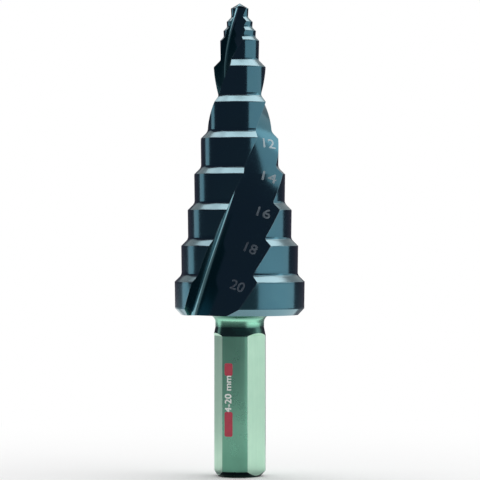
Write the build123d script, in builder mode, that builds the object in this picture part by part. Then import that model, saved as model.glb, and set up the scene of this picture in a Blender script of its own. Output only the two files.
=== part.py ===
from build123d import *
import os
from math import cos, degrees, exp, log, radians, sin, sqrt, tan

# Step drill for sheet metal: a stepped conical head with ten sizes from 4 to
# 20 mm, two right-hand helical flutes, a short pilot point and a round shank
# with three driving flats. It is ground from one bar, so it is one solid.
# It stands on the end of its shank: origin at the centre of that end face,
# +Z along the axis towards the point. Lengths are in millimetres, angles in degrees.

# ---- Shank ----
shank_diameter = 8.0
shank_length = 21.7                # end face to the foot of the neck's cone
shank_end_chamfer = 0.8            # across the radius
shank_end_chamfer_height = 0.9
flat_count = 3
flat_distance = 3.46               # from the axis to each driving flat
flat_length = 21.6                 # from the end face to where a flat runs out
flat_runout_angle = 45.0           # slope of the ramp at the top of a flat
first_flat_azimuth = -42.0         # outward direction of the first flat, from +X

# ---- Neck, between shank and head ----
neck_diameter = 7.5
neck_cone_height = 1.2             # from the shank down to the neck's diameter
neck_length = 1.9                  # straight part, up to the head's underside
neck_fillet = 0.9

# ---- Head: steps from the widest to the narrowest ----
head_base_chamfer = 1.0
first_step_height = 5.1            # underside of the head to the widest step's edge
wide_diameters = (20.0, 18.0, 16.0, 14.0, 12.0, 10.0, 8.0)
wide_step_pitch = 5.5              # edge to edge
narrow_diameters = (6.0, 5.0, 4.0)
narrow_step_pitches = (4.05, 1.5, 1.4)
back_taper = 0.06                  # radius lost down each step, for clearance
shoulder_fillet = 1.0              # where a shoulder meets the next wall; sharp on narrow steps

# ---- Point ----
pilot_diameter = 2.7
pilot_pitch = 2.05                 # last step's edge to the pilot's edge
point_angle = 118.0

# ---- Flutes ----
flute_count = 2
helix_angle = 25.0                 # of the flute's edge to the axis, all the way up the cone
flute_azimuth = -135.7             # outward direction of the first flute's floor at the base
# The flute at the head's underside, at the 14, 10 and 8 mm edges and at the tip
floor_distances = (7.25, 4.3, 2.4, 2.1, 0.7)  # axis to flute floor: the drill's core
face_offsets = (2.5, 1.8, 1.4, 1.05, 0.6)     # axis to the plane of the cutting face
flute_corner_chamfer = 0.36        # small flat between the flute's floor and its cutting face
flute_floor_bulge = 0.3
turn_per_section = 12.0            # between the sections that the flute is lofted through

cutter_overrun = 1.2               # how far a cutter runs past the metal that it leaves

# ---- Heights and radii that follow ----
shank_radius = shank_diameter / 2
neck_radius = neck_diameter / 2
pilot_radius = pilot_diameter / 2
head_base_height = shank_length + neck_cone_height + neck_length
step_radii = [diameter / 2 for diameter in wide_diameters + narrow_diameters]
step_pitches = [wide_step_pitch] * (len(wide_diameters) - 1) + list(narrow_step_pitches)

step_heights = [head_base_height + first_step_height]
for pitch in step_pitches:
    step_heights.append(step_heights[-1] + pitch)

pilot_height = step_heights[-1] + pilot_pitch
tip_height = pilot_height + pilot_radius / tan(radians(point_angle / 2))

# ---- Turned profile: each point is a radius, a height and a fillet ----
profile = [
    (shank_radius - shank_end_chamfer, 0, 0),
    (shank_radius, shank_end_chamfer_height, 0),
    (shank_radius, shank_length, 0),
    (neck_radius, shank_length + neck_cone_height, 0),
    (neck_radius, head_base_height, neck_fillet),
    (step_radii[0] - head_base_chamfer, head_base_height, 0),
    (step_radii[0] - back_taper, head_base_height + head_base_chamfer, 0),
]
for index, (radius, height) in enumerate(zip(step_radii, step_heights)):
    # The edge, then down into the corner where a 45 degree chamfer meets the next wall
    next_radius = (step_radii + [pilot_radius])[index + 1] - back_taper
    fillet_size = shoulder_fillet if index + 1 < len(wide_diameters) else 0
    profile.append((radius, height, 0))
    profile.append((next_radius, height + radius - next_radius, fillet_size))
profile.append((pilot_radius, pilot_height, 0))

# ---- The cone that the flutes follow, through the edges of the wide steps ----
last_wide = len(wide_diameters) - 1
cone_slope = (step_radii[0] - step_radii[last_wide]) / (step_heights[last_wide] - step_heights[0])
turn_rate = tan(radians(helix_angle)) / cone_slope


def cone_radius(height):
    """Radius of the cone through the step edges."""
    return step_radii[0] - cone_slope * (height - step_heights[0])


def turn_at(height):
    """Angle that a helix of constant slope on the cone has turned since the head's underside."""
    return degrees(turn_rate * log(cone_radius(head_base_height) / cone_radius(height)))


def height_at(turn):
    """Height at which that helix has turned by an angle."""
    radius = cone_radius(head_base_height) * exp(-radians(turn) / turn_rate)
    return step_heights[0] + (step_radii[0] - radius) / cone_slope


def along_flute(values, height):
    """A flute size at a height, from its values at the five stations."""
    stations = (head_base_height, step_heights[3], step_heights[5], step_heights[6], tip_height)
    index = 0
    while index < len(stations) - 2 and height > stations[index + 1]:
        index += 1
    share = (height - stations[index]) / (stations[index + 1] - stations[index])
    return values[index] + share * (values[index + 1] - values[index])


def radial_plane(azimuth, height, across):
    """A plane whose x points outward at an azimuth; it lies across or along the axis."""
    outward = (cos(radians(azimuth)), sin(radians(azimuth)), 0)
    sideways = (sin(radians(azimuth)), -cos(radians(azimuth)), 0)
    return Plane(origin=(0, 0, height), x_dir=outward, z_dir=(0, 0, 1) if across else sideways)


# ---- Flute cutter: an L-shaped section that turns with the helix ----
first_turn = turn_at(head_base_height - cutter_overrun)
last_turn = turn_at(tip_height + cutter_overrun)
section_count = round((last_turn - first_turn) / turn_per_section)

with BuildPart() as flute_cutter:
    for index in range(section_count + 1):
        turn = first_turn + (last_turn - first_turn) * index / section_count
        height = height_at(turn)
        floor_distance = along_flute(floor_distances, height)
        face_offset = along_flute(face_offsets, height)
        edge_radius = cone_radius(height)
        heel = sqrt(edge_radius**2 - floor_distance**2) + cutter_overrun
        bulge = flute_floor_bulge * edge_radius / step_radii[0]
        reach = edge_radius + floor_distance / 2 + cutter_overrun
        with BuildSketch(radial_plane(flute_azimuth + turn, height, across=True)) as section:
            with BuildLine() as section_outline:
                floor = ThreePointArc(
                    (floor_distance, -face_offset),
                    (floor_distance + bulge, (heel - face_offset) / 2),
                    (floor_distance, heel),
                )
                Polyline(floor @ 1, (reach, reach), (reach, -face_offset), floor @ 0)
            make_face()
            corner = section.vertices().sort_by_distance((floor_distance, -face_offset))[0]
            chamfer(corner, flute_corner_chamfer)
    loft()

# ---- The drill ----
with BuildPart() as step_drill:
    with BuildSketch(Plane.XZ) as half_section:
        with BuildLine() as outline:
            turned = FilletPolyline(
                (0, 0),
                *[(radius, height) for radius, height, _ in profile],
                (0, tip_height),
                radius=[fillet_size for _, _, fillet_size in profile],
            )
            Line(turned @ 1, turned @ 0)
        make_face()
    revolve(axis=Axis.Z)

    # Two flutes, opposite each other
    with PolarLocations(0, flute_count):
        add(flute_cutter.part, mode=Mode.SUBTRACT)

    # Driving flats, each with a ramp where the grinding wheel runs out
    depth = shank_radius - flat_distance + cutter_overrun
    for index in range(flat_count):
        azimuth = first_flat_azimuth + index * 360 / flat_count
        with BuildSketch(radial_plane(azimuth, 0, across=False)) as flat_profile:
            with BuildLine() as flat_outline:
                Polyline(
                    (flat_distance, -cutter_overrun),
                    (flat_distance, flat_length),
                    (flat_distance + depth, flat_length + depth * tan(radians(flat_runout_angle))),
                    (flat_distance + depth, -cutter_overrun),
                    close=True,
                )
            make_face()
        extrude(amount=shank_radius, both=True, mode=Mode.SUBTRACT)

step_drill.part.label = "step_drill"

os.makedirs("parts", exist_ok=True)
export_step(step_drill.part, "parts/step_drill.step")
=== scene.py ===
# %% [markdown]
# # A step drill in Blender
# A step drill cuts clean round holes in sheet metal. Its head is a cone of
# steps, each one hole size, with two helical flutes that carry the chips away.
# The head has a hard blue-black coating and the shank is bare ground steel.
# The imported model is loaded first: it gives the true shape, and its origin is
# the centre of the shank's end face, with +Z along the drill.

# %% Load the frame
import math
from collections import namedtuple
from functools import partial

import bmesh
import bpy
from mathutils import Euler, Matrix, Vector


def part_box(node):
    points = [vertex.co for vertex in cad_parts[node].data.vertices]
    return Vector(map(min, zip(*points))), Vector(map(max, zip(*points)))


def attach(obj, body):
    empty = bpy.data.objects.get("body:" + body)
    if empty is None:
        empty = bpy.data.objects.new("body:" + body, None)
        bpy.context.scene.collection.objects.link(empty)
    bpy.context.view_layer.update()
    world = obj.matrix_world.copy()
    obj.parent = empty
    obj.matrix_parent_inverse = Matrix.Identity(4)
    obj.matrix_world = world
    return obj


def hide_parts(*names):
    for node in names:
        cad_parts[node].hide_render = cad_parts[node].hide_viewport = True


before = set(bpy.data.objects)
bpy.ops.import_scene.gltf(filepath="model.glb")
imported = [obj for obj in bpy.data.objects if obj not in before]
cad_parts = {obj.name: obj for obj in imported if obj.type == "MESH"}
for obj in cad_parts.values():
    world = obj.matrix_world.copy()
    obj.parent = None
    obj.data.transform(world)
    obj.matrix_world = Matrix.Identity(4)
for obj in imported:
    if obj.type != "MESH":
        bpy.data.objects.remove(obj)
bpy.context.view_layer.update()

scene = bpy.context.scene
MM = 0.001
cad_low, cad_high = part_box("step_drill")
print("drill:", [round(side / MM, 2) for side in cad_high - cad_low], "mm")

# %% [markdown]
# ## Camera
# A long lens a short way off, level with the middle of the drill, so that the
# steps look nearly square on and the shoulders show only their slopes.

# %% Camera
CAMERA_DISTANCE = 400 * MM
EYE_OFFSET = 0.05 * MM             # to the right of the drill's axis
EYE_HEIGHT = 36.3 * MM
FRAME_WIDTH = 73.85 * MM           # width of the view at the drill's axis
SENSOR_WIDTH = 36


def add_object(name, data):
    """An object in the scene."""
    item = bpy.data.objects.new(name, data)
    scene.collection.objects.link(item)
    return item


camera_data = bpy.data.cameras.new("camera")
camera_data.sensor_width = SENSOR_WIDTH
camera_data.lens = SENSOR_WIDTH * CAMERA_DISTANCE / FRAME_WIDTH
camera_data.clip_start = 0.01
camera_data.clip_end = 20
camera = add_object("camera", camera_data)
camera.location = (EYE_OFFSET, -CAMERA_DISTANCE, EYE_HEIGHT)
camera.rotation_euler = (math.radians(90), 0, 0)
scene.camera = camera
scene.view_settings.view_transform = "Standard"
print("lens:", round(camera_data.lens, 1), "mm")

# %% [markdown]
# ## Node helpers
# Every shape rule and finish below is a graph of nodes. `Value` stands for the
# number in a socket, so that a formula in Python builds the Math nodes that
# work it out, and the graph reads as the sums it stands for. Where a node is
# joined to another, its first output is meant unless another is named.


# %% Sums in nodes
class Value:
    """A number in a socket. A sum or comparison with it adds a Math node to its tree."""

    def __init__(self, source):
        self.socket = source.outputs[0] if isinstance(source, bpy.types.Node) else source


def teach(sign, operation):
    """Makes a sign with a Value on either side of it mean a Math node."""
    setattr(Value, f"__{sign}__", lambda self, other: work_out(operation, self, other))
    setattr(Value, f"__r{sign}__", lambda self, other: work_out(operation, other, self))


def connect(tree, source, target):
    """Joins a Value, a socket or a node's first output to an input, or writes a plain
    number or vector there."""
    if isinstance(source, bpy.types.Node):
        source = source.outputs[0]
    if isinstance(source, Value):
        source = source.socket
    if isinstance(source, bpy.types.NodeSocket):
        tree.links.new(source, target)
    else:
        target.default_value = source


def work_out(operation, *terms):
    """One Math node; at least one of its terms is a Value."""
    tree = next(term.socket.node.id_data for term in terms if isinstance(term, Value))
    node = tree.nodes.new("ShaderNodeMath")
    node.operation = operation
    for term, target in zip(terms, node.inputs):
        connect(tree, term, target)
    return Value(node)


def polar(radius, angle):
    """The x and y of a point at a radius and an angle."""
    return radius * cos(angle), radius * sin(angle)


def add_node(tree, kind, inputs=(), **properties):
    """A node with its properties and inputs set; inputs maps names or numbers to values."""
    node = tree.nodes.new(kind)
    for name, value in properties.items():
        setattr(node, name, value)
    for name, value in dict(inputs).items():
        connect(tree, value, node.inputs[name])
    return node


cos, sin, square_root, angle_of, least, most = (
    partial(work_out, operation)
    for operation in ("COSINE", "SINE", "SQRT", "ARCTAN2", "MINIMUM", "MAXIMUM")
)
for sign, operation in (("add", "ADD"), ("sub", "SUBTRACT"), ("mul", "MULTIPLY"),
                        ("truediv", "DIVIDE"), ("lt", "LESS_THAN"), ("gt", "GREATER_THAN")):
    teach(sign, operation)
print("sums ready")


# %% Vectors, ramps and groups
SOCKET_KINDS = {int: "Int", float: "Float"}


def vector(tree, x=0.0, y=0.0, z=0.0):
    """A vector made of three numbers."""
    return add_node(tree, "ShaderNodeCombineXYZ", {"X": x, "Y": y, "Z": z})


def coordinate(tree, source, axis):
    """One of a vector's three numbers."""
    return Value(add_node(tree, "ShaderNodeSeparateXYZ", {0: source}).outputs[axis])


def scaled(tree, source, factor):
    """A vector made longer or shorter by a factor."""
    inputs = {"Vector": source, "Scale": factor}
    return add_node(tree, "ShaderNodeVectorMath", inputs, operation="SCALE")


def vector_sum(tree, operation, first, second):
    """One Vector Math node."""
    inputs = {0: first, 1: second}
    return add_node(tree, "ShaderNodeVectorMath", inputs, operation=operation)


def ramp(tree, value, start, end, shape="LINEAR"):
    """Goes from 0 to 1 as a value goes from start to end, and stays level beyond them."""
    inputs = {"Value": value, "From Min": start, "From Max": end}
    node = add_node(tree, "ShaderNodeMapRange", inputs, interpolation_type=shape)
    return Value(node)


def new_group(name, kind, inputs, output):
    """An empty node group, with its inputs as Values by name and the socket of its one
    output, a geometry or, for shaders, a number. Inputs maps names to a plain number,
    which is then the default, or to a kind of socket."""
    tree = bpy.data.node_groups.new(name, kind)
    for socket_name, value in inputs.items():
        socket_kind = value if isinstance(value, str) else SOCKET_KINDS[type(value)]
        item = tree.interface.new_socket(
            socket_name, in_out="INPUT", socket_type="NodeSocket" + socket_kind)
        if not isinstance(value, str):
            item.default_value = value
    output_kind = "Geometry" if kind == "GeometryNodeTree" else "Float"
    tree.interface.new_socket(output, in_out="OUTPUT", socket_type="NodeSocket" + output_kind)
    node = tree.nodes.new("NodeGroupInput")
    given = {socket_name: Value(node.outputs[socket_name]) for socket_name in inputs}
    return tree, given, tree.nodes.new("NodeGroupOutput").inputs[0]


def titled(values):
    """Inputs named by the titles of their sockets, from keywords."""
    return {name.capitalize(): value for name, value in values.items()}


def own_place(tree):
    """Where each point of a geometry is."""
    return add_node(tree, "GeometryNodeInputPosition")


def moved(tree, geometry, **how):
    """A geometry that is scaled, then turned, then moved."""
    return add_node(tree, "GeometryNodeTransform", {"Geometry": geometry, **titled(how)})


def store(tree, geometry, name, value, domain):
    """Keeps a number on a geometry under a name that materials can read."""
    node = add_node(tree, "GeometryNodeStoreNamedAttribute", {"Geometry": geometry, "Name": name},
                    data_type="FLOAT", domain=domain)
    connect(tree, value, node.inputs["Value"])
    return node


def join(tree, *pieces):
    """Several geometries as one."""
    node = tree.nodes.new("GeometryNodeJoinGeometry")
    for piece in reversed(pieces):
        connect(tree, piece, node.inputs[0])
    return node


print("vectors, ramps and groups ready")

# %% [markdown]
# ## Profile
# A lathe cuts the drill's half outline: shank, neck and steps. It is written
# as radius, height and fillet for each corner, from the wide end of the cone
# to the point. Blender draws it as a poly curve whose point radius holds the
# fillet, because the Fillet Curve node can then round each corner by its own.

# %% Sizes of the steps
SHANK_RADIUS = 4.0
SHANK_LENGTH = 21.7
END_CHAMFER = (0.8, 0.9)           # across the radius, and along the shank
NECK_RADIUS = 3.75
NECK_CONE_HEIGHT = 1.2
NECK_LENGTH = 1.9
NECK_FILLET = 1.15
HEAD_BASE = SHANK_LENGTH + NECK_CONE_HEIGHT + NECK_LENGTH
BASE_CHAMFER = 1.0
FIRST_STEP = 5.1
STEP_DIAMETERS = (20, 18, 16, 14, 12, 10, 8, 6, 5, 4)
STEP_PITCHES = (5.5, 5.5, 5.5, 5.5, 5.5, 5.5, 4.05, 1.5, 1.4, 2.05)
LAST_WIDE_STEP = 6                 # the 8 mm step, where the even cone ends
BACK_TAPER = 0.06
SHOULDER_FILLETS = (1.0, 0.5)      # on the wide steps, and on the narrow ones
EDGE_BREAK = 0.03                  # the ground edges are not quite sharp
PILOT_RADIUS = 1.35
POINT_ANGLE = 118.0

step_radii = [diameter / 2 for diameter in STEP_DIAMETERS] + [PILOT_RADIUS]
step_heights = [HEAD_BASE + FIRST_STEP]
for pitch in STEP_PITCHES:
    step_heights.append(step_heights[-1] + pitch)
tip_height = step_heights[-1] + PILOT_RADIUS / math.tan(math.radians(POINT_ANGLE / 2))

shank_profile = [
    (0, 0, 0),
    (SHANK_RADIUS - END_CHAMFER[0], 0, 0),
    (SHANK_RADIUS, END_CHAMFER[1], 0),
    (SHANK_RADIUS, SHANK_LENGTH, 0),
    (NECK_RADIUS, SHANK_LENGTH + NECK_CONE_HEIGHT, 0),
    (NECK_RADIUS, HEAD_BASE, NECK_FILLET),
    (NECK_RADIUS + NECK_FILLET, HEAD_BASE, 0),
]
head_profile = [
    (step_radii[0] - BASE_CHAMFER, HEAD_BASE, 0),
    (step_radii[0] - BACK_TAPER, HEAD_BASE + BASE_CHAMFER, EDGE_BREAK),
]
for step, (radius, height) in enumerate(zip(step_radii[:-1], step_heights)):
    foot = step_radii[step + 1] - BACK_TAPER
    fillet = SHOULDER_FILLETS[step >= LAST_WIDE_STEP]
    head_profile.append((radius, height, EDGE_BREAK))
    head_profile.append((foot, height + radius - foot, fillet))
head_profile += [(PILOT_RADIUS, step_heights[-1], EDGE_BREAK), (0, tip_height, 0)]
print("head:", len(head_profile), "corners, point at", round(tip_height, 2), "mm")


# %% Draw the profiles
def profile_curve(name, corners):
    """A half outline in the XZ plane, as a hidden curve that a node tree reads."""
    data = bpy.data.curves.new(name, "CURVE")
    data.dimensions = "3D"
    line = data.splines.new("POLY")
    line.points.add(len(corners) - 1)
    for point, (radius, height, fillet) in zip(line.points, corners):
        point.co = (radius * MM, 0, height * MM, 1)
        point.radius = fillet * MM
    print(name, "drawn")
    return bpy.data.objects.new(name, data)


shank_curve = profile_curve("shank_profile", shank_profile)
head_curve = profile_curve("head_profile", head_profile)

# %% [markdown]
# ## Rows and strips
# A turned and fluted form is a grid: its rows climb the profile, and its
# columns go round. Where a flute or a flat begins, the grid must have a
# column, or the edge would look sawn. So each face round the drill gets a
# strip of its own, and a rule says where the strip's columns lie in each row.
# A strip also keeps two numbers for the materials: which kind of surface it is,
# and how far across the grinding lines each point lies.


# %% Rows
TURNED, FLUTE, CORNER, FLAT = 0, 1, 2, 3     # kinds of surface
WIDE_FILLET = 0.2                  # a wider fillet is rounded in more facets
FACETS, MORE_FACETS = 2, 5
TINY = 0.001 * MM                  # keeps a sum in order where a radius is 0


def profile_rows(tree, curve_object, spacing):
    """The profile with its corners rounded, as a line of points a spacing apart."""
    info = add_node(tree, "GeometryNodeObjectInfo", {"Object": curve_object})
    fillet = Value(add_node(tree, "GeometryNodeInputRadius"))
    facets = FACETS + (fillet > WIDE_FILLET * MM) * MORE_FACETS
    rounded = add_node(tree, "GeometryNodeFilletCurve", {
        "Curve": info.outputs["Geometry"], "Radius": fillet, "Count": facets,
    }, mode="POLY")
    here = own_place(tree)
    following = Value(add_node(tree, "GeometryNodeInputIndex")) + 1
    after = add_node(tree, "GeometryNodeFieldAtIndex", {"Value": here, "Index": following},
                     data_type="FLOAT_VECTOR")
    gap = add_node(tree, "ShaderNodeVectorMath", {0: here, 1: after}, operation="DISTANCE")
    cuts = work_out("FLOOR", Value(gap.outputs["Value"]) / spacing)
    divided = add_node(tree, "GeometryNodeSubdivideCurve", {"Curve": rounded, "Cuts": cuts})
    return add_node(tree, "GeometryNodeCurveToMesh", {"Curve": divided})


# %% Strips
def strip(tree, rows, columns, rule, surface):
    """A grid over the rows. The rule gives x, y and the place across the grinding lines,
    from how far across a column is and from the row's radius and height."""
    size = add_node(tree, "GeometryNodeAttributeDomainSize", {0: rows}, component="MESH")
    row_count = Value(size.outputs["Point Count"])
    grid = add_node(tree, "GeometryNodeMeshGrid", {
        "Size X": 1.0, "Size Y": 1.0, "Vertices X": columns, "Vertices Y": row_count,
    })
    here = own_place(tree)
    row = work_out("ROUND", (coordinate(tree, here, "Y") + 0.5) * (row_count - 1))
    point = add_node(tree, "GeometryNodeSampleIndex", {
        "Geometry": rows, "Value": here, "Index": row,
    }, data_type="FLOAT_VECTOR", domain="POINT")
    radius, height = coordinate(tree, point, "X"), coordinate(tree, point, "Z")
    x, y, lines = rule(coordinate(tree, here, "X") + 0.5, radius, height)
    lined = store(tree, grid.outputs["Mesh"], "lines", lines, "POINT")
    marked = store(tree, lined, "surface", float(surface), "FACE")
    return add_node(tree, "GeometryNodeSetPosition", {
        "Geometry": marked, "Position": vector(tree, x, y, height),
    })


def copies_round(tree, geometry, count):
    """A geometry repeated by turning it round the drill's axis."""
    points = add_node(tree, "GeometryNodePoints", {"Count": count})
    number = Value(add_node(tree, "GeometryNodeInputIndex"))
    copies = add_node(tree, "GeometryNodeInstanceOnPoints", {
        "Points": points, "Instance": geometry,
        "Rotation": vector(tree, z=number * math.tau / count),
    })
    return add_node(tree, "GeometryNodeRealizeInstances", {0: copies})


print("rows and strips ready")

# %% [markdown]
# ## Shank
# Three flats are ground on the round shank so that a chuck's jaws grip it.
# A flat's edge lies where its plane meets the turned surface, at the angle
# whose cosine is the flat's distance over the radius. Near the neck the wheel
# lifts, so the distance grows and the flat closes to a point by itself.

# %% Shank tree
FLAT_COUNT = 3
FLAT_DISTANCE = 3.46
FLAT_LENGTH = 21.6
FIRST_FLAT_AZIMUTH = -42.0
ROUND_COLUMNS, FLAT_COLUMNS = 13, 9

shank_tree, shank_in, shank_out = new_group("flatted_shank", "GeometryNodeTree", {
    "Profile": "Object",
    "Row Spacing": 0.1 * MM,
    "Flat Count": FLAT_COUNT,
    "Flat Distance": FLAT_DISTANCE * MM,
    "Flat Length": FLAT_LENGTH * MM,
    "First Azimuth": math.radians(FIRST_FLAT_AZIMUTH),
}, "Geometry")
flat_count = shank_in["Flat Count"]
flat_distance = shank_in["Flat Distance"]
flat_length = shank_in["Flat Length"]
flat_azimuth = shank_in["First Azimuth"]


def flat_edge(radius, height):
    """Half the angle that a flat spans, and how far from the axis it lies."""
    distance = flat_distance + most(height - flat_length, 0.0)
    cosine = distance / most(radius, TINY)
    return work_out("ARCCOSINE", least(cosine, 1.0)), distance


def round_strip(across, radius, height):
    """The turned surface from one flat to the next."""
    half, _ = flat_edge(radius, height)
    angle = flat_azimuth + half + across * (math.tau / flat_count - 2 * half)
    return *polar(radius, angle), radius + height


def flat_strip(across, radius, height):
    """One flat, from its lower edge to its upper, no further out than the turned surface."""
    half, distance = flat_edge(radius, height)
    angle = (2 * across - 1) * half
    reach = least(distance / cos(angle), radius)
    return *polar(reach, flat_azimuth + angle), reach * sin(angle)


rows = profile_rows(shank_tree, shank_in["Profile"], shank_in["Row Spacing"])
third = join(
    shank_tree,
    strip(shank_tree, rows, ROUND_COLUMNS, round_strip, TURNED),
    strip(shank_tree, rows, FLAT_COLUMNS, flat_strip, FLAT),
)
connect(shank_tree, copies_round(shank_tree, third, flat_count), shank_out)
print("shank tree:", len(shank_tree.nodes), "nodes")

# %% [markdown]
# ## Head
# A flute turns at a steady angle up the cone, so its turn grows with the
# logarithm of the cone's radius. Cut across, it is an L: a cutting face, a
# rounded corner and a floor that runs out at the heel. What is left of the
# turned surface is the land. Each is one strip, and so they meet exactly.

# %% Head tree
HELIX_ANGLE = 25.0
FLUTE_COUNT = 2
FLUTE_AZIMUTH = -135.7
FLOOR_BULGE = 0.3
CUTTER_OVERRUN = 1.2
# heights of the head's underside, of the 14, 10 and 8 mm edges and of the tip
STATIONS = (HEAD_BASE, step_heights[3], step_heights[5], step_heights[6], tip_height)
FLOOR_DISTANCES = (7.25, 4.3, 2.4, 2.1, 0.7)
FACE_OFFSETS = (2.5, 1.8, 1.4, 1.05, 0.6)
CORNER_RADII = (0.65, 0.33, 0.12, 0.12, 0.5)
SECTION = (FLOOR_DISTANCES, FACE_OFFSETS, CORNER_RADII)
Cut = namedtuple("Cut", "floor face corner cone")      # SECTION and the cone at one height
CONE_SLOPE = (
    (step_radii[0] - step_radii[LAST_WIDE_STEP])
    / (step_heights[LAST_WIDE_STEP] - step_heights[0])
)
CONE_BASE = step_radii[0] + CONE_SLOPE * FIRST_STEP

head_tree, head_in, head_out = new_group("fluted_head", "GeometryNodeTree", {
    "Profile": "Object",
    "Row Spacing": 0.25 * MM,
    "Flute Count": FLUTE_COUNT,
    "Helix Angle": math.radians(HELIX_ANGLE),
    "First Azimuth": math.radians(FLUTE_AZIMUTH),
    "Floor Bulge": FLOOR_BULGE * MM,
}, "Geometry")
floor_bulge = head_in["Floor Bulge"]
flute_count = head_in["Flute Count"]


def along_flute(values, height):
    """A size that changes evenly from station to station up the flute."""
    size = values[0] * MM
    for low, high, first, last in zip(STATIONS, STATIONS[1:], values, values[1:]):
        share = least(most((height - low * MM) * (1 / ((high - low) * MM)), 0.0), 1.0)
        size = share * ((last - first) * MM) + size
    return size


def flute_at(height):
    """The flute's turn and its cut at a height."""
    cone = CONE_BASE * MM - (height - HEAD_BASE * MM) * CONE_SLOPE
    rate = work_out("TANGENT", head_in["Helix Angle"]) / CONE_SLOPE
    turn = rate * work_out("LOGARITHM", CONE_BASE * MM / cone, math.e)
    return turn, Cut(*(along_flute(values, height) for values in SECTION), cone)


def leg(long_side, short_side):
    """The other side of a right-angled triangle, or 0 where there is none."""
    square = long_side * long_side - short_side * short_side
    return square_root(most(square, 0.0))


def floor_swell(y, cut):
    """How far the floor's shallow arc stands out at a distance across it."""
    near_side = cut.corner - cut.face
    far_side = leg(cut.cone, cut.floor) + CUTTER_OVERRUN * MM
    share = (y - near_side) / (far_side - near_side)
    return floor_bulge * cut.cone / (step_radii[0] * MM) * 4 * share * (1 - share)


def heel_at(radius, cut):
    """Where the floor meets the land, found in two steps because the floor is curved."""
    y = leg(radius, cut.floor)
    for _ in range(2):
        y = leg(radius, cut.floor + floor_swell(y, cut))
    return y


def head_strip(outline, surface):
    """A strip rule: an outline in the flute's own frame, kept inside the turned surface
    and turned with the flute."""

    def rule(across, radius, height):
        turn, cut = flute_at(height)
        x, y = outline(across, radius, cut)
        reach = square_root(x * x + y * y)
        keep = least(radius / most(reach, TINY / 10), 1.0)
        angle = head_in["First Azimuth"] + turn
        cosine, sine = cos(angle), sin(angle)
        lines = radius + height if surface == TURNED else x + y
        return (x * cosine - y * sine) * keep, (x * sine + y * cosine) * keep, lines

    return rule


# %% Outlines of the land and the flute
LAND_COLUMNS, FACE_COLUMNS, CORNER_COLUMNS, FLOOR_COLUMNS = 33, 5, 7, 15


def land_outline(across, radius, cut):
    """From the heel, round to the next flute's cutting edge."""
    heel = heel_at(radius, cut)
    start = angle_of(heel, leg(radius, heel))
    edge = angle_of(least(cut.face, radius), leg(radius, cut.face))
    return polar(radius, start + across * (math.tau / flute_count - edge - start))


def face_outline(across, radius, cut):
    """The cutting face, from the cutting edge in to the corner."""
    edge = leg(radius, cut.face)
    return edge + across * (cut.floor + cut.corner - edge), across * 0.0 - cut.face


def corner_outline(across, radius, cut):
    """The rounded corner, a quarter turn from the face to the floor."""
    angle = (across + 1) * (-math.pi / 2)
    x, y = polar(cut.corner, angle)
    return cut.floor + cut.corner + x, cut.corner - cut.face + y


def floor_outline(across, radius, cut):
    """The floor, from the corner out to the heel."""
    start = cut.corner - cut.face
    heel = heel_at(radius, cut)
    y = start + across * (heel - start)
    # what the two steps left over is spread across the floor, which then ends on the land
    left_over = leg(radius, heel) - cut.floor - floor_swell(heel, cut)
    return cut.floor + floor_swell(y, cut) + across * left_over, y


rows = profile_rows(head_tree, head_in["Profile"], head_in["Row Spacing"])
half_head = join(head_tree, *(
    strip(head_tree, rows, columns, head_strip(outline, surface), surface)
    for columns, outline, surface in (
        (LAND_COLUMNS, land_outline, TURNED),
        (FACE_COLUMNS, face_outline, FLUTE),
        (CORNER_COLUMNS, corner_outline, CORNER),
        (FLOOR_COLUMNS, floor_outline, FLUTE),
    )
))
connect(head_tree, copies_round(head_tree, half_head, flute_count), head_out)
print("head tree:", len(head_tree.nodes), "nodes")

# %% [markdown]
# ## Body
# The drill is one bar of steel, so shank and head become one closed mesh: the
# open rims of both are filled by the head's flat underside, and points that
# coincide are merged. Each face keeps its slope and each point whether an edge
# runs through it, for the finishes. The shape is then made a plain mesh with
# sharp edges where faces meet at an angle, and smooth shading elsewhere.

# %% Body tree
MERGE = 0.0003 * MM
WORN_ANGLE = 11.0                  # faces that meet at a wider angle have an edge
body_tree, body_in, body_out = new_group("drill_body", "GeometryNodeTree", {
    "Geometry": "Geometry",
    "Shank Profile": "Object",
    "Head Profile": "Object",
    "Underside Height": HEAD_BASE * MM,
    "Coating": "Material",
    "Bare Steel": "Material",
}, "Geometry")
underside_height = body_in["Underside Height"]
shank_part, head_part = (
    add_node(body_tree, "GeometryNodeGroup", {"Profile": body_in[profile]}, node_tree=tree)
    for profile, tree in (("Shank Profile", shank_tree), ("Head Profile", head_tree))
)
walls = add_node(body_tree, "GeometryNodeMergeByDistance", {
    "Geometry": join(body_tree, shank_part, head_part), "Distance": MERGE,
})

neighbours = add_node(body_tree, "GeometryNodeInputMeshEdgeNeighbors")
is_open = add_node(body_tree, "FunctionNodeCompare", {2: neighbours, 3: 1},
                   data_type="INT", operation="EQUAL")
rims = add_node(body_tree, "GeometryNodeMeshToCurve", {"Mesh": walls, "Selection": is_open})
filled = add_node(body_tree, "GeometryNodeFillCurve", {"Curve": rims})
raised = moved(body_tree, filled, translation=vector(body_tree, z=underside_height))
underside = add_node(body_tree, "GeometryNodeFlipFaces", {0: raised})
whole = add_node(body_tree, "GeometryNodeMergeByDistance", {
    "Geometry": join(body_tree, walls, underside), "Distance": MERGE,
})
realized = add_node(body_tree, "GeometryNodeRealizeInstances", {0: whole})
normal = add_node(body_tree, "GeometryNodeInputNormal")
sloped = store(body_tree, realized, "slope", coordinate(body_tree, normal, "Z"), "FACE")
bend = Value(add_node(body_tree, "GeometryNodeInputMeshEdgeAngle").outputs["Unsigned Angle"])
is_edge = add_node(body_tree, "GeometryNodeFieldOnDomain",
                   {0: bend > math.radians(WORN_ANGLE)}, data_type="FLOAT", domain="EDGE")
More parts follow.
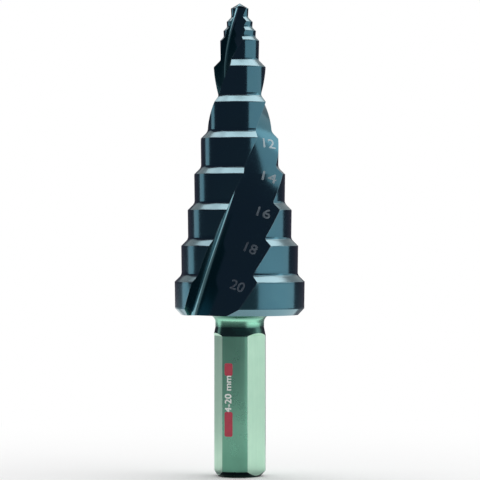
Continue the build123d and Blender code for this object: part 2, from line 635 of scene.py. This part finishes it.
edged = store(body_tree, sloped, "edge", Value(is_edge) > 0.0, "POINT")
on_shank = coordinate(body_tree, own_place(body_tree), "Z") < underside_height - TINY
coat = add_node(body_tree, "GeometryNodeSetMaterial",
                {"Geometry": edged, "Material": body_in["Coating"]})
bare = add_node(body_tree, "GeometryNodeSetMaterial", {
    "Geometry": coat, "Selection": on_shank, "Material": body_in["Bare Steel"],
})
connect(body_tree, bare, body_out)
print("body tree:", len(body_tree.nodes), "nodes")


# %% Run a tree
def made_by_tree(name, tree, values):
    """A plain mesh object from a node tree; values maps the tree's input names to values.
    Prints the mesh's faces, open edges and volume."""
    host = add_object(name, bpy.data.meshes.new(name))
    modifier = host.modifiers.new(name, "NODES")
    modifier.node_group = tree
    for item in tree.interface.items_tree:
        if item.in_out == "INPUT" and item.name in values:
            modifier[item.identifier] = values[item.name]
    graph = bpy.context.evaluated_depsgraph_get()
    made = bpy.data.meshes.new_from_object(
        host.evaluated_get(graph), preserve_all_data_layers=True, depsgraph=graph)
    host.modifiers.clear()
    host.data = made
    made.name = name
    form = bmesh.new()
    form.from_mesh(made)
    open_edges = sum(not edge.is_manifold for edge in form.edges)
    print(name, len(made.polygons), "faces,", open_edges, "open edges, volume",
          round(form.calc_volume() / MM**3, 3), "mm3")
    form.free()
    return host

# %% [markdown]
# ## Finishes
# A ground tool is never a mirror: each wheel leaves fine lines, a smooth
# coating clouds a little, and the corners wear first. Each effect is a node
# group that both steels share, and it puts out a plain number from 0 to 1.
# Noise makes all four, because real grinding has no two lines alike.

# %% Finish groups
STREAK_STRETCH = (1.0, 1.0, 0.03)  # slows the pattern along the drill, so it runs long
CLOUD_RANGE = (0.3, 0.7)           # of the noise, spread over 0 to 1
WEAR_GRAIN = 2.2
WEAR_EDGE = 0.12                   # how softly a worn patch ends


def noise(tree, place, detail, distortion=0.0):
    """Noise with a grain of about 1 mm at a place in mm."""
    inputs = {"Vector": place, "Scale": 1.0, "Detail": detail, "Distortion": distortion}
    return Value(add_node(tree, "ShaderNodeTexNoise", inputs))


lines_tree, group_in, group_out = new_group("grinding_lines", "ShaderNodeTree", {
    "Position": "Vector", "Lines": 0.0, "Spacing": 0.15, "Drift": 0.12,
}, "Height")
across = group_in["Lines"] / group_in["Spacing"]
drift = scaled(lines_tree, group_in["Position"], group_in["Drift"])
place = vector_sum(lines_tree, "ADD", drift, vector(lines_tree, x=across))
connect(lines_tree, noise(lines_tree, place, detail=3.0), group_out)

streak_tree, group_in, group_out = new_group("axial_streaks", "ShaderNodeTree", {
    "Position": "Vector", "Width": 0.5,
}, "Height")
squeezed = vector_sum(streak_tree, "MULTIPLY", group_in["Position"], STREAK_STRETCH)
place = scaled(streak_tree, squeezed, 1 / group_in["Width"])
connect(streak_tree, noise(streak_tree, place, detail=2.0), group_out)

cloud_tree, group_in, group_out = new_group("clouding", "ShaderNodeTree", {
    "Position": "Vector", "Size": 3.0,
}, "Amount")
place = scaled(cloud_tree, group_in["Position"], 1 / group_in["Size"])
clouds = noise(cloud_tree, place, detail=4.0, distortion=0.4)
connect(cloud_tree, ramp(cloud_tree, clouds, *CLOUD_RANGE), group_out)

wear_tree, group_in, group_out = new_group("worn_edges", "ShaderNodeTree", {
    "Position": "Vector", "Edge": 0.0, "Reach": 0.3,
}, "Mask")
place = scaled(wear_tree, group_in["Position"], WEAR_GRAIN)
threshold = 1 - group_in["Reach"] * noise(wear_tree, place, detail=4.0)
worn = ramp(wear_tree, group_in["Edge"], threshold, threshold + WEAR_EDGE, "SMOOTHSTEP")
connect(wear_tree, worn, group_out)
print("finish groups ready")


# %% Material helpers
def empty_material(name):
    """A material with an empty tree."""
    material = bpy.data.materials.new(name)
    material.use_nodes = True
    material.node_tree.nodes.clear()
    return material, material.node_tree


def new_material(name):
    """A material with a Principled shader and its output."""
    material, tree = empty_material(name)
    shader = tree.nodes.new("ShaderNodeBsdfPrincipled")
    output = tree.nodes.new("ShaderNodeOutputMaterial")
    connect(tree, shader, output.inputs[0])
    return material, tree, shader


def place_in_mm(tree):
    """Where the point that is shaded lies on its own object, in mm."""
    return scaled(tree, add_node(tree, "ShaderNodeTexCoord").outputs["Object"], 1 / MM)


def kept_number(tree, name):
    """A number that the body's tree kept on each face or point."""
    return Value(add_node(tree, "ShaderNodeAttribute", attribute_name=name).outputs["Fac"])


def effect(tree, group, place, **values):
    """A finish group in a material, as the number it puts out."""
    inputs = {"Position": place, **titled(values)}
    return Value(add_node(tree, "ShaderNodeGroup", inputs, node_tree=group))


def mix_colours(tree, factor, first, second):
    """Goes from the first colour to the second as the factor goes from 0 to 1."""
    node = add_node(tree, "ShaderNodeMix", {0: factor}, data_type="RGBA")
    for source, target in ((first, node.inputs[6]), (second, node.inputs[7])):
        connect(tree, (*source, 1) if isinstance(source, tuple) else source, target)
    return node.outputs[2]


def laid_over(tree, colour, *coats):
    """A colour with others laid over it in turn. A coat is its mask from 0 to 1, and its colour."""
    for mask, coat in coats:
        colour = mix_colours(tree, mask, colour, coat)
    return colour


def set_finish(tree, shader, colour, metallic, roughness, heights):
    """Sets a shader's looks. Each height comes with its depth in mm, and they add up to a bump."""
    connect(tree, colour, shader.inputs["Base Color"])
    connect(tree, metallic, shader.inputs["Metallic"])
    connect(tree, roughness, shader.inputs["Roughness"])
    relief = sum(height * depth for height, depth in heights)
    bump = add_node(tree, "ShaderNodeBump", {"Strength": 1.0, "Distance": MM, "Height": relief})
    connect(tree, bump, shader.inputs["Normal"])


print("material helpers ready")

# %% [markdown]
# ## Coated steel
# The head's coating is a thin hard film over polished steel. It reflects like
# a dark metal with a blue-green tint, and stays nearly as smooth as the steel.
# The shoulders face up and get a painted highlight, and the chamfer under the
# head and the underside, which face down, a painted reflection of the bright
# floor. The flutes' inner corner gets a painted highlight line, the film thins
# where an edge has rubbed, and the point gets painted shade. The slope and the
# kind of surface that the body's tree kept, and the height, give the masks.

# %% Coated steel
FILM = (0.062, 0.158, 0.196)
CLOUDED_FILM = (0.052, 0.142, 0.200)
# painted highlight on the shoulders, which face up
PAINTED_SHOULDER_HIGHLIGHT = (0.155, 0.235, 0.262)
# painted reflection of the bright floor on faces that look down
PAINTED_CHAMFER_REFLECTION = (0.185, 0.330, 0.380)
# painted highlight line in the flutes' inner corner
PAINTED_CORNER_HIGHLIGHT = (0.22, 0.48, 0.56)
BARE_EDGE = (0.20, 0.30, 0.33)
# painted shade on the point
PAINTED_POINT_SHADE = (0.020, 0.045, 0.052)
SHOULDER_SLOPE = 0.45              # of the normal; a shoulder's is about 0.7
POINT_START = step_heights[-1] + 0.02
FILM_ROUGHNESS = 0.115

coated, tree, shader = new_material("coated_steel")
place = place_in_mm(tree)
surface, slope = kept_number(tree, "surface"), kept_number(tree, "slope")
# painted shade on the point, above the pilot's edge
is_point = coordinate(tree, place, "Z") > POINT_START
# painted highlight on the up-facing shoulders, weaker at the point
shoulder = (slope > SHOULDER_SLOPE) * (surface < TURNED + 0.5) * (1 - is_point * 0.8)
# painted reflection on the chamfer and underside, which face down
chamfer_reflection_mask = slope < -SHOULDER_SLOPE
# painted highlight line along the flutes' corner strips
corner_highlight_mask = surface > CORNER - 0.5
lines = effect(tree, lines_tree, place, lines=kept_number(tree, "lines"))
streaks = effect(tree, streak_tree, place, width=0.7)
cloud = effect(tree, cloud_tree, place, size=2.6)
worn = effect(tree, wear_tree, place, edge=kept_number(tree, "edge"), reach=0.35)
tint = laid_over(
    tree, FILM, (cloud * 0.35, CLOUDED_FILM), (shoulder, PAINTED_SHOULDER_HIGHLIGHT), (chamfer_reflection_mask, PAINTED_CHAMFER_REFLECTION),
    (corner_highlight_mask, PAINTED_CORNER_HIGHLIGHT), (worn * 0.5, BARE_EDGE), (is_point * 0.7, PAINTED_POINT_SHADE),
)
roughness = FILM_ROUGHNESS + lines * 0.05 + cloud * 0.03 + shoulder * 0.06
relief = ((lines, 0.0016), (streaks, 0.0030), (worn, -0.002))
set_finish(tree, shader, tint, 1.0, roughness, relief)
print("coated steel:", len(tree.nodes), "nodes")

# %% [markdown]
# ## Ground steel
# The shank is bare. A centreless grinder leaves it greenish bright, with long
# soft streaks, and the flats are milled a little coarser than the round part,
# so they catch light from a wider part of the room. Oil and storage have left
# a faint clouding. The neck gets a band of painted shade, and more painted
# shade lies just under the head. The round part gets painted shade towards the
# foot, and the chamfer at its end gets painted shade that is nearly black.

# %% Ground steel
ROUND_STEEL = (0.30, 0.76, 0.54)
STEEL = (0.55, 0.83, 0.64)
OILED = (0.36, 0.66, 0.50)
STREAKED = (0.34, 0.58, 0.46)
RUBBED = (0.62, 0.80, 0.70)
# painted shade on the neck and just under the head
PAINTED_NECK_SHADE = (0.07, 0.17, 0.14)
# painted shade on the round part towards the foot
PAINTED_FOOT_SHADE = (0.13, 0.34, 0.24)
# painted shade, nearly black, on the chamfer at the end
PAINTED_END_SHADE = (0.025, 0.055, 0.050)
# heights between which each shade fades in, in mm
NECK_SHADE_FROM = (SHANK_LENGTH - 0.25, SHANK_LENGTH - 0.05)
NECK_SHADE_TO = (HEAD_BASE - 1.3, HEAD_BASE - 1.9)
UNDER_HEAD = (HEAD_BASE - 0.75, HEAD_BASE - 0.35)
FOOT = (8.5, 3.0)
END_HEIGHT = 1.2
END_SLOPE = -0.25
STEEL_ROUGHNESS = 0.24

ground, tree, shader = new_material("ground_steel")
place = place_in_mm(tree)
height = coordinate(tree, place, "Z")
on_flat = kept_number(tree, "surface") > FLAT - 0.5
on_round = 1 - on_flat
# painted shade: a band on the neck, and a strip just under the head
painted_neck_shade = ramp(tree, height, *NECK_SHADE_FROM) * ramp(tree, height, *NECK_SHADE_TO) * on_round
under_head = ramp(tree, height, *UNDER_HEAD)
# painted shade, growing towards the foot
foot = ramp(tree, height, *FOOT) * on_round
# painted shade on the end chamfer, which faces down
end = (height < END_HEIGHT) * (kept_number(tree, "slope") < END_SLOPE)
lines = effect(tree, lines_tree, place, lines=kept_number(tree, "lines"), spacing=0.25)
streaks = effect(tree, streak_tree, place, width=0.35)
cloud = effect(tree, cloud_tree, place, size=1.8)
worn = effect(tree, wear_tree, place, edge=kept_number(tree, "edge"), reach=0.4)
tint = laid_over(
    tree, ROUND_STEEL, (on_flat, STEEL), (cloud * 0.2, OILED), (streaks * 0.35, STREAKED),
    (worn * 0.6, RUBBED), (painted_neck_shade, PAINTED_NECK_SHADE), (under_head * 0.75, PAINTED_NECK_SHADE),
    (foot * 0.75, PAINTED_FOOT_SHADE), (end, PAINTED_END_SHADE),
)
roughness = STEEL_ROUGHNESS + lines * 0.05 + cloud * 0.05 + on_flat * 0.05 - painted_neck_shade * 0.08
set_finish(tree, shader, tint, 1.0, roughness, ((lines, 0.0010), (streaks, 0.004)))
print("ground steel:", len(tree.nodes), "nodes")

# %% [markdown]
# ## Make the body
# The modifier runs the tree once. The result is kept as a plain mesh, checked
# for open edges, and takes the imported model's place.

# %% Make the body
SHARP_ANGLE = 20.0

body = made_by_tree("drill_body", body_tree, {
    "Shank Profile": shank_curve, "Head Profile": head_curve, "Underside Height": HEAD_BASE * MM,
    "Coating": coated, "Bare Steel": ground,
})
body.data.shade_smooth()
body.data.set_sharp_from_angle(angle=math.radians(SHARP_ANGLE))
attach(body, "root")
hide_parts("step_drill")

# %% [markdown]
# ## Marks laid on the body
# Size numbers are laser-marked in one flute, and a band is printed on the
# shank. Each mark starts as a flat outline, is filled, given a skin's
# thickness, stood in front of the body and dropped onto it by raycast, so it
# follows a twisted floor or a round shank and is still a closed solid.

# %% Marking tree
SKIN = 0.05                        # thickness of a mark, in mm
SUNK = 0.035                       # how much of it lies below the surface
STAND_OFF = 15 * MM                # from the axis, before it is dropped
RAY_LENGTH = 30 * MM
MARK_MERGE = 0.001                 # in mm

laid_tree, group_in, group_out = new_group("laid_on_body", "GeometryNodeTree", {
    "Outline": "Geometry",
    "Body": "Object",
    "Material": "Material",
    "Subdivisions": 2,
    "Azimuth": 0.0,
    "Across": 0.0,
    "Height": 0.0,
    "Tilt": 0.0,
}, "Geometry")
azimuth = group_in["Azimuth"]
filled = add_node(laid_tree, "GeometryNodeFillCurve", {"Curve": group_in["Outline"]})
finer = add_node(laid_tree, "GeometryNodeSubdivideMesh", {
    "Mesh": filled, "Level": group_in["Subdivisions"],
})
raised = add_node(laid_tree, "GeometryNodeExtrudeMesh", {
    "Mesh": finer, "Offset Scale": SKIN, "Individual": False,
})
under = add_node(laid_tree, "GeometryNodeFlipFaces", {0: finer})
solid = add_node(laid_tree, "GeometryNodeMergeByDistance", {
    "Geometry": join(laid_tree, raised.outputs["Mesh"], under), "Distance": MARK_MERGE,
})
here = own_place(laid_tree)
lifted = store(laid_tree, solid, "lift", coordinate(laid_tree, here, "Z"), "POINT")
tilt = vector(laid_tree, z=group_in["Tilt"])
tilted = moved(laid_tree, lifted, rotation=tilt, scale=(MM, MM, MM))
spot = vector(laid_tree, STAND_OFF, group_in["Across"], group_in["Height"])
stood = moved(laid_tree, tilted, translation=spot, rotation=(math.pi / 2, 0, math.pi / 2))
turned = moved(laid_tree, stood, rotation=vector(laid_tree, z=azimuth))
outward = vector(laid_tree, cos(azimuth), sin(azimuth))
target = add_node(laid_tree, "GeometryNodeObjectInfo", {"Object": group_in["Body"]})
ray = add_node(laid_tree, "GeometryNodeRaycast", {
    "Target Geometry": target.outputs["Geometry"], "Source Position": here,
    "Ray Direction": scaled(laid_tree, outward, -1.0), "Ray Length": RAY_LENGTH,
})
kept = add_node(laid_tree, "GeometryNodeInputNamedAttribute", {"Name": "lift"}, data_type="FLOAT")
step_out = scaled(laid_tree, outward, (Value(kept) - SUNK) * MM)
spot = vector_sum(laid_tree, "ADD", ray.outputs["Hit Position"], step_out)
dropped = add_node(laid_tree, "GeometryNodeSetPosition", {"Geometry": turned, "Position": spot})
finished = add_node(laid_tree, "GeometryNodeSetMaterial",
                    {"Geometry": dropped, "Material": group_in["Material"]})
connect(laid_tree, finished, group_out)
print("marking tree:", len(laid_tree.nodes), "nodes")

# %% Outlines
OUTLINE_STEP = 0.12                # between an outline's points, in mm
BOLD = 0.03                        # how far an outline is moved outward, in mm


def text_outline(tree, text, size, widen):
    """A line of text centred on the origin, as curves sized in mm. Every outline is
    moved outward, across its own direction, to make the strokes bolder."""
    node = add_node(tree, "GeometryNodeStringToCurves", {"String": text, "Size": size},
                    align_x="CENTER", align_y="MIDDLE")
    letters = add_node(tree, "GeometryNodeRealizeInstances", {0: node})
    wide = moved(tree, letters, scale=(widen, 1, 1))
    even = add_node(tree, "GeometryNodeResampleCurve", {"Curve": wide, "Length": OUTLINE_STEP},
                    mode="LENGTH")
    along = add_node(tree, "GeometryNodeInputTangent")
    outward = vector_sum(tree, "CROSS_PRODUCT", along, (0, 0, BOLD))
    return add_node(tree, "GeometryNodeSetPosition", {"Geometry": even, "Offset": outward})


def laid_on(tree, group_in, outline, ink_socket, **values):
    """One mark: an outline dropped onto the body. Values are inputs of the marking tree."""
    return add_node(tree, "GeometryNodeGroup", {
        "Outline": outline, "Body": group_in["Body"], "Material": group_in[ink_socket],
        **titled(values),
    }, node_tree=laid_tree)


print("outlines ready")

# %% [markdown]
# ## Size numbers
# Each number stands beside its own step, so that the user can count the steps
# while the drill turns. It lies on the flute's floor about two thirds of the
# way to the heel, and leans with the flute. The flute's own sums give the
# place, and a table gives what each number has of its own, because the marking
# machine lays down one after another and no two come out quite alike.

# %% Size numbers
NUMBER_SIZE = 2.02
NUMBER_TILT = -16.0
FLOOR_SHARE = 0.66                 # from the flute's corner to its heel
# From the widest step up: width against the font's own, drop below the step's
# edge and shift across the floor in mm, and share of the tilt
NUMBER_PLACES = (
    (1.37, 0.60, -0.15, 1.0),
    (1.28, 0.40, -0.40, 1.2),
    (1.34, 0.50, 0.00, 1.1),
    (1.46, 0.55, -0.15, 1.1),
    (1.42, 0.85, -0.30, 0.4),
)


def flute_place(height):
    """The flute's azimuth in degrees, and how far across it the numbers lie in mm."""
    cone = CONE_BASE - CONE_SLOPE * (height - HEAD_BASE)
    turned_by = math.tan(math.radians(HELIX_ANGLE)) / CONE_SLOPE * math.log(CONE_BASE / cone)
    low = max(index for index in range(len(STATIONS) - 1) if STATIONS[index] <= height)
    share = (height - STATIONS[low]) / (STATIONS[low + 1] - STATIONS[low])
    floor, face, corner = (
        values[low] + share * (values[low + 1] - values[low]) for values in SECTION)
    start = corner - face
    heel = math.sqrt(cone**2 - floor**2)
    return FLUTE_AZIMUTH + math.degrees(turned_by), start + FLOOR_SHARE * (heel - start)


numbers_tree, group_in, group_out = new_group("size_numbers", "GeometryNodeTree", {
    "Geometry": "Geometry",
    "Body": "Object",
    "Mark": "Material",
    "Size": NUMBER_SIZE,
    "Tilt": math.radians(NUMBER_TILT),
}, "Geometry")
numbers = []
for diameter, edge_height, place in zip(STEP_DIAMETERS, step_heights, NUMBER_PLACES):
    width, drop, shift, lean = place
    azimuth, across = flute_place(edge_height - drop)
    digits = add_node(numbers_tree, "FunctionNodeValueToString", {0: float(diameter)})
    outline = text_outline(numbers_tree, digits, group_in["Size"], width)
    numbers.append(laid_on(
        numbers_tree, group_in, outline, "Mark", azimuth=math.radians(azimuth),
        across=(across + shift) * MM, height=(edge_height - drop) * MM,
        tilt=group_in["Tilt"] * lean,
    ))
connect(numbers_tree, join(numbers_tree, *numbers), group_out)
print("number tree:", len(numbers), "numbers")

# %% Laser mark
DARK_MARK = (0.26, 0.34, 0.37)
PALE_MARK = (0.36, 0.44, 0.47)
MARK_ROUGHNESS = 0.42

laser, tree, shader = new_material("laser_mark")
dots = effect(tree, cloud_tree, place_in_mm(tree), size=0.12)
tint = mix_colours(tree, dots, DARK_MARK, PALE_MARK)
set_finish(tree, shader, tint, 1.0, MARK_ROUGHNESS + dots * 0.10, ((dots, 0.004),))

size_numbers = made_by_tree("size_numbers", numbers_tree, {"Body": body, "Mark": laser})
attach(size_numbers, "root")

# %% [markdown]
# ## Printed band
# The shank carries a plain red and white print that reads up the drill: the
# range of sizes between two red fields. The ink is a matt film, slightly
# rubbed, on the round land between two flats.

# %% Printed band
BAND_AZIMUTH = -115.5
BAND_WIDTH = 1.35
TOP_FIELD = (15.6, 17.5)           # from and to, up the shank
BAR_FIELD = (6.3, 10.1)
FIELD_CORNER = 0.3
CORNER_FACETS = 6
FIELD_DETAIL = 4                   # times each field is divided, to bend with the shank
TEXT_MIDDLE = 12.85
TEXT_SIZE = 1.55

band_tree, group_in, group_out = new_group("printed_band", "GeometryNodeTree", {
    "Geometry": "Geometry",
    "Body": "Object",
    "Red": "Material",
    "White": "Material",
    "Width": BAND_WIDTH,
    "Azimuth": math.radians(BAND_AZIMUTH),
}, "Geometry")
azimuth = group_in["Azimuth"]
prints = []
for low, high in (TOP_FIELD, BAR_FIELD):
    sides = add_node(band_tree, "GeometryNodeCurvePrimitiveQuadrilateral", {
        "Width": group_in["Width"], "Height": high - low,
    })
    field = add_node(band_tree, "GeometryNodeFilletCurve", {
        "Curve": sides, "Radius": FIELD_CORNER, "Count": CORNER_FACETS,
    }, mode="POLY")
    prints.append(laid_on(
        band_tree, group_in, field, "Red", azimuth=azimuth,
        height=(low + high) / 2 * MM, subdivisions=FIELD_DETAIL,
    ))
outline = text_outline(band_tree, "4-20 mm", TEXT_SIZE, 1.0)
prints.append(laid_on(
    band_tree, group_in, outline, "White", azimuth=azimuth, height=TEXT_MIDDLE * MM,
    tilt=math.pi / 2,
))
connect(band_tree, join(band_tree, *prints), group_out)
print("band tree:", len(prints), "prints")

# %% Inks
RED = (0.50, 0.035, 0.075)
RUBBED_RED = (0.34, 0.06, 0.075)
WHITE = (0.86, 0.86, 0.84)
RUBBED_WHITE = (0.68, 0.70, 0.67)
INK_ROUGHNESS = 0.45


def ink(name, colour, rubbed):
    """A matt ink whose colour is thinner where it has been rubbed."""
    material, tree, shader = new_material(name)
    patches = effect(tree, cloud_tree, place_in_mm(tree), size=0.5)
    tint = mix_colours(tree, patches * 0.5, colour, rubbed)
    set_finish(tree, shader, tint, 0.0, INK_ROUGHNESS + patches * 0.15, ((patches, 0.003),))
    return material


red = ink("red_ink", RED, RUBBED_RED)
white = ink("white_ink", WHITE, RUBBED_WHITE)
printed_band = made_by_tree("printed_band", band_tree, {"Body": body, "Red": red, "White": white})
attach(printed_band, "root")

# %% [markdown]
# ## Studio
# The drill stands on a white table in a white room. A matt floor takes its
# shadow near the foot; further out, and for what the steel reflects, the floor
# and the room are simply white. Black and grey cards round it and on the table
# are seen only in reflections: polished metal needs something dark to mirror,
# or its edges melt into the backdrop.

# %% Floor
FLOOR_RADIUS = 3.0
MATT_RADIUS = 20 * MM              # where the matt floor starts to fade to white
MIRRORED_RADIUS = 6 * MM           # the same, for what the steel reflects
FADE_REACH = 6                     # times that radius, where it is all white
MATT = (0.85, 0.85, 0.85, 1)
PURE_WHITE = (1, 1, 1, 1)

floor_mesh = bpy.data.meshes.new("floor")
form = bmesh.new()
bmesh.ops.create_circle(form, cap_ends=True, segments=96, radius=FLOOR_RADIUS)
form.to_mesh(floor_mesh)
form.free()
floor = add_object("floor", floor_mesh)


def seen_rays(tree):
    """1 for camera, glossy and transmission rays, which should see plain white."""
    path = add_node(tree, "ShaderNodeLightPath")
    camera_ray, glossy_ray, transmission_ray = (
        Value(path.outputs[f"Is {kind} Ray"]) for kind in ("Camera", "Glossy", "Transmission"))
    return most(most(camera_ray, glossy_ray), transmission_ray)


paper, tree = empty_material("pale_floor")
here = add_node(tree, "ShaderNodeTexCoord").outputs["Object"]
distance = add_node(tree, "ShaderNodeVectorMath", {0: here}, operation="LENGTH").outputs["Value"]
glossy_ray = Value(add_node(tree, "ShaderNodeLightPath").outputs["Is Glossy Ray"])
inner = MATT_RADIUS - glossy_ray * (MATT_RADIUS - MIRRORED_RADIUS)
fade = ramp(tree, distance, inner, inner * FADE_REACH, "SMOOTHSTEP")
matte = add_node(tree, "ShaderNodeBsdfDiffuse", {"Color": MATT})
glow = add_node(tree, "ShaderNodeEmission", {"Color": PURE_WHITE, "Strength": 1.0})
blend = add_node(tree, "ShaderNodeMixShader", {0: seen_rays(tree) * fade, 1: matte, 2: glow})
add_node(tree, "ShaderNodeOutputMaterial", {0: blend})
floor_mesh.materials.append(paper)
print("floor ready")

# %% World
AMBIENT = 0.5                      # what lights matt surfaces
BACKDROP = 1.0                     # what the camera and the steel see

world = bpy.data.worlds.new("studio")
scene.world = world
world.use_nodes = True
tree = world.node_tree
tree.nodes.clear()
ambient, backdrop = (
    add_node(tree, "ShaderNodeBackground", {"Color": PURE_WHITE, "Strength": strength})
    for strength in (AMBIENT, BACKDROP)
)
blend = add_node(tree, "ShaderNodeMixShader", {0: seen_rays(tree), 1: ambient, 2: backdrop})
add_node(tree, "ShaderNodeOutputWorld", {0: blend})
print("world ready")

# %% [markdown]
# ## Lamps
# Three flat lamps stand upright and one hangs level. A low one on the right
# draws the bright band down every step, a narrow one behind on the left draws
# the thin one, a high one on the right, rolled over, fills the upper flute,
# and one overhead lights the shoulders. An even lamp of radiance 1 shows a
# metal in its own colour.

# %% Lamps
LAMP_DISTANCE = 0.45


def lamp(name, bearing, distance, height, width, tall, radiance,
         aside=0.0, roll=0.0, face_down=False):
    """A flat lamp at a bearing round the drill; 0 is the camera's side, 90 the right.
    Aside moves it along its own plane, and roll turns it in that plane."""
    data = bpy.data.lights.new(name, "AREA")
    data.shape = "RECTANGLE"
    data.size = width
    data.size_y = tall
    data.energy = radiance * math.pi * width * tall
    angle = math.radians(bearing)
    item = add_object(name, data)
    item.location = (
        distance * math.sin(angle) + aside * math.cos(angle),
        -distance * math.cos(angle) + aside * math.sin(angle),
        height,
    )
    facing = Euler((math.pi / 2, 0, angle)).to_matrix()
    upright = facing @ Euler((0, 0, math.radians(roll))).to_matrix()
    item.rotation_euler = (0, 0, 0) if face_down else upright.to_euler()
    print(name, "at", [round(c, 3) for c in item.location])


# bearing, distance, height, width, height of the lamp itself and radiance, in metres
lamp("right_low", 72.5, LAMP_DISTANCE, 0.045, 0.742, 0.19, 1.0)
lamp("right_high", 88, LAMP_DISTANCE, 0.605, 0.90, 0.50, 1.0, aside=-0.193, roll=-39)
lamp("left_strip", -112, LAMP_DISTANCE, 0.045, 0.15, 0.19, 1.0)
lamp("overhead", 180, 0.18, 0.50, 0.72, 0.48, 1.85, face_down=True)

# %% Cards
# The cards glow with their own colours and light nothing: painted reflection of a dark room and a
# shaded table.
BLACK = (0.078, 0.070, 0.096)
DIM = (0.19, 0.19, 0.21)
GREY = (0.50, 0.52, 0.53)
FRONT = (0.20, 0.21, 0.21)
FAR = 0.7                          # metres from the drill's axis
TABLE = 0.0004                     # just above the floor
CARD_STEP = 5                      # degrees, about, from one column to the next


def card(name, colour, sectors):
    """A card seen only in reflections, where it glows with its own colour as a painted
    reflection. Each sector is two bearings and, for each of its long sides, a radius and a
    height."""
    mesh = bpy.data.meshes.new(name)
    form = bmesh.new()
    for (first, last), *sides in sectors:
        steps = max(2, round(abs(last - first) / CARD_STEP))
        angles = [math.radians(first + (last - first) * step / steps) for step in range(steps + 1)]
        near, far = (
            [form.verts.new((radius * math.sin(a), -radius * math.cos(a), height)) for a in angles]
            for radius, height in sides
        )
        for step in range(steps):
            form.faces.new((near[step], near[step + 1], far[step + 1], far[step]))
    form.to_mesh(mesh)
    form.free()
    item = add_object(name, mesh)
    for ray_kind in ("camera", "diffuse", "transmission", "shadow", "volume_scatter"):
        setattr(item, "visible_" + ray_kind, False)
    material, tree = empty_material(name)
    glow = add_node(tree, "ShaderNodeEmission", {"Color": (*colour, 1), "Strength": 1.0})
    add_node(tree, "ShaderNodeOutputMaterial", {0: glow})
    mesh.materials.append(material)
    print(name, len(mesh.polygons), "faces")


card("black_cards", BLACK, (
    ((-130, 88), (FAR, 0.0), (FAR, 1.6)),              # tall, in front and beside
    ((88, 180), (FAR, 0.0), (FAR, 0.16)),              # low, behind on the right
    ((180, 230), (FAR, 0.0), (FAR, 0.28)),             # low, behind on the left
    ((0, 360), (0.0001, TABLE), (0.0075, TABLE)),      # under the shank's end: painted shade for the end chamfer to mirror
))
card("dim_cards", DIM, (
    ((95, 175), (0.055, TABLE), (0.25, TABLE)),        # on the table, behind on the right
    ((112, 175), (0.25, TABLE), (FAR, TABLE)),
))
card("front_cards", FRONT, (
    ((-100, 33), (0.060, TABLE), (FAR, TABLE)),        # on the table, in front
))
card("grey_cards", GREY, (
    ((130, 180), (FAR, 0.16), (FAR, 0.85)),            # behind, above the low ones
    ((180, 230), (FAR, 0.28), (FAR, 0.85)),
    ((205, 235), (0.06, TABLE), (FAR, TABLE)),         # on the table, behind on the left
))
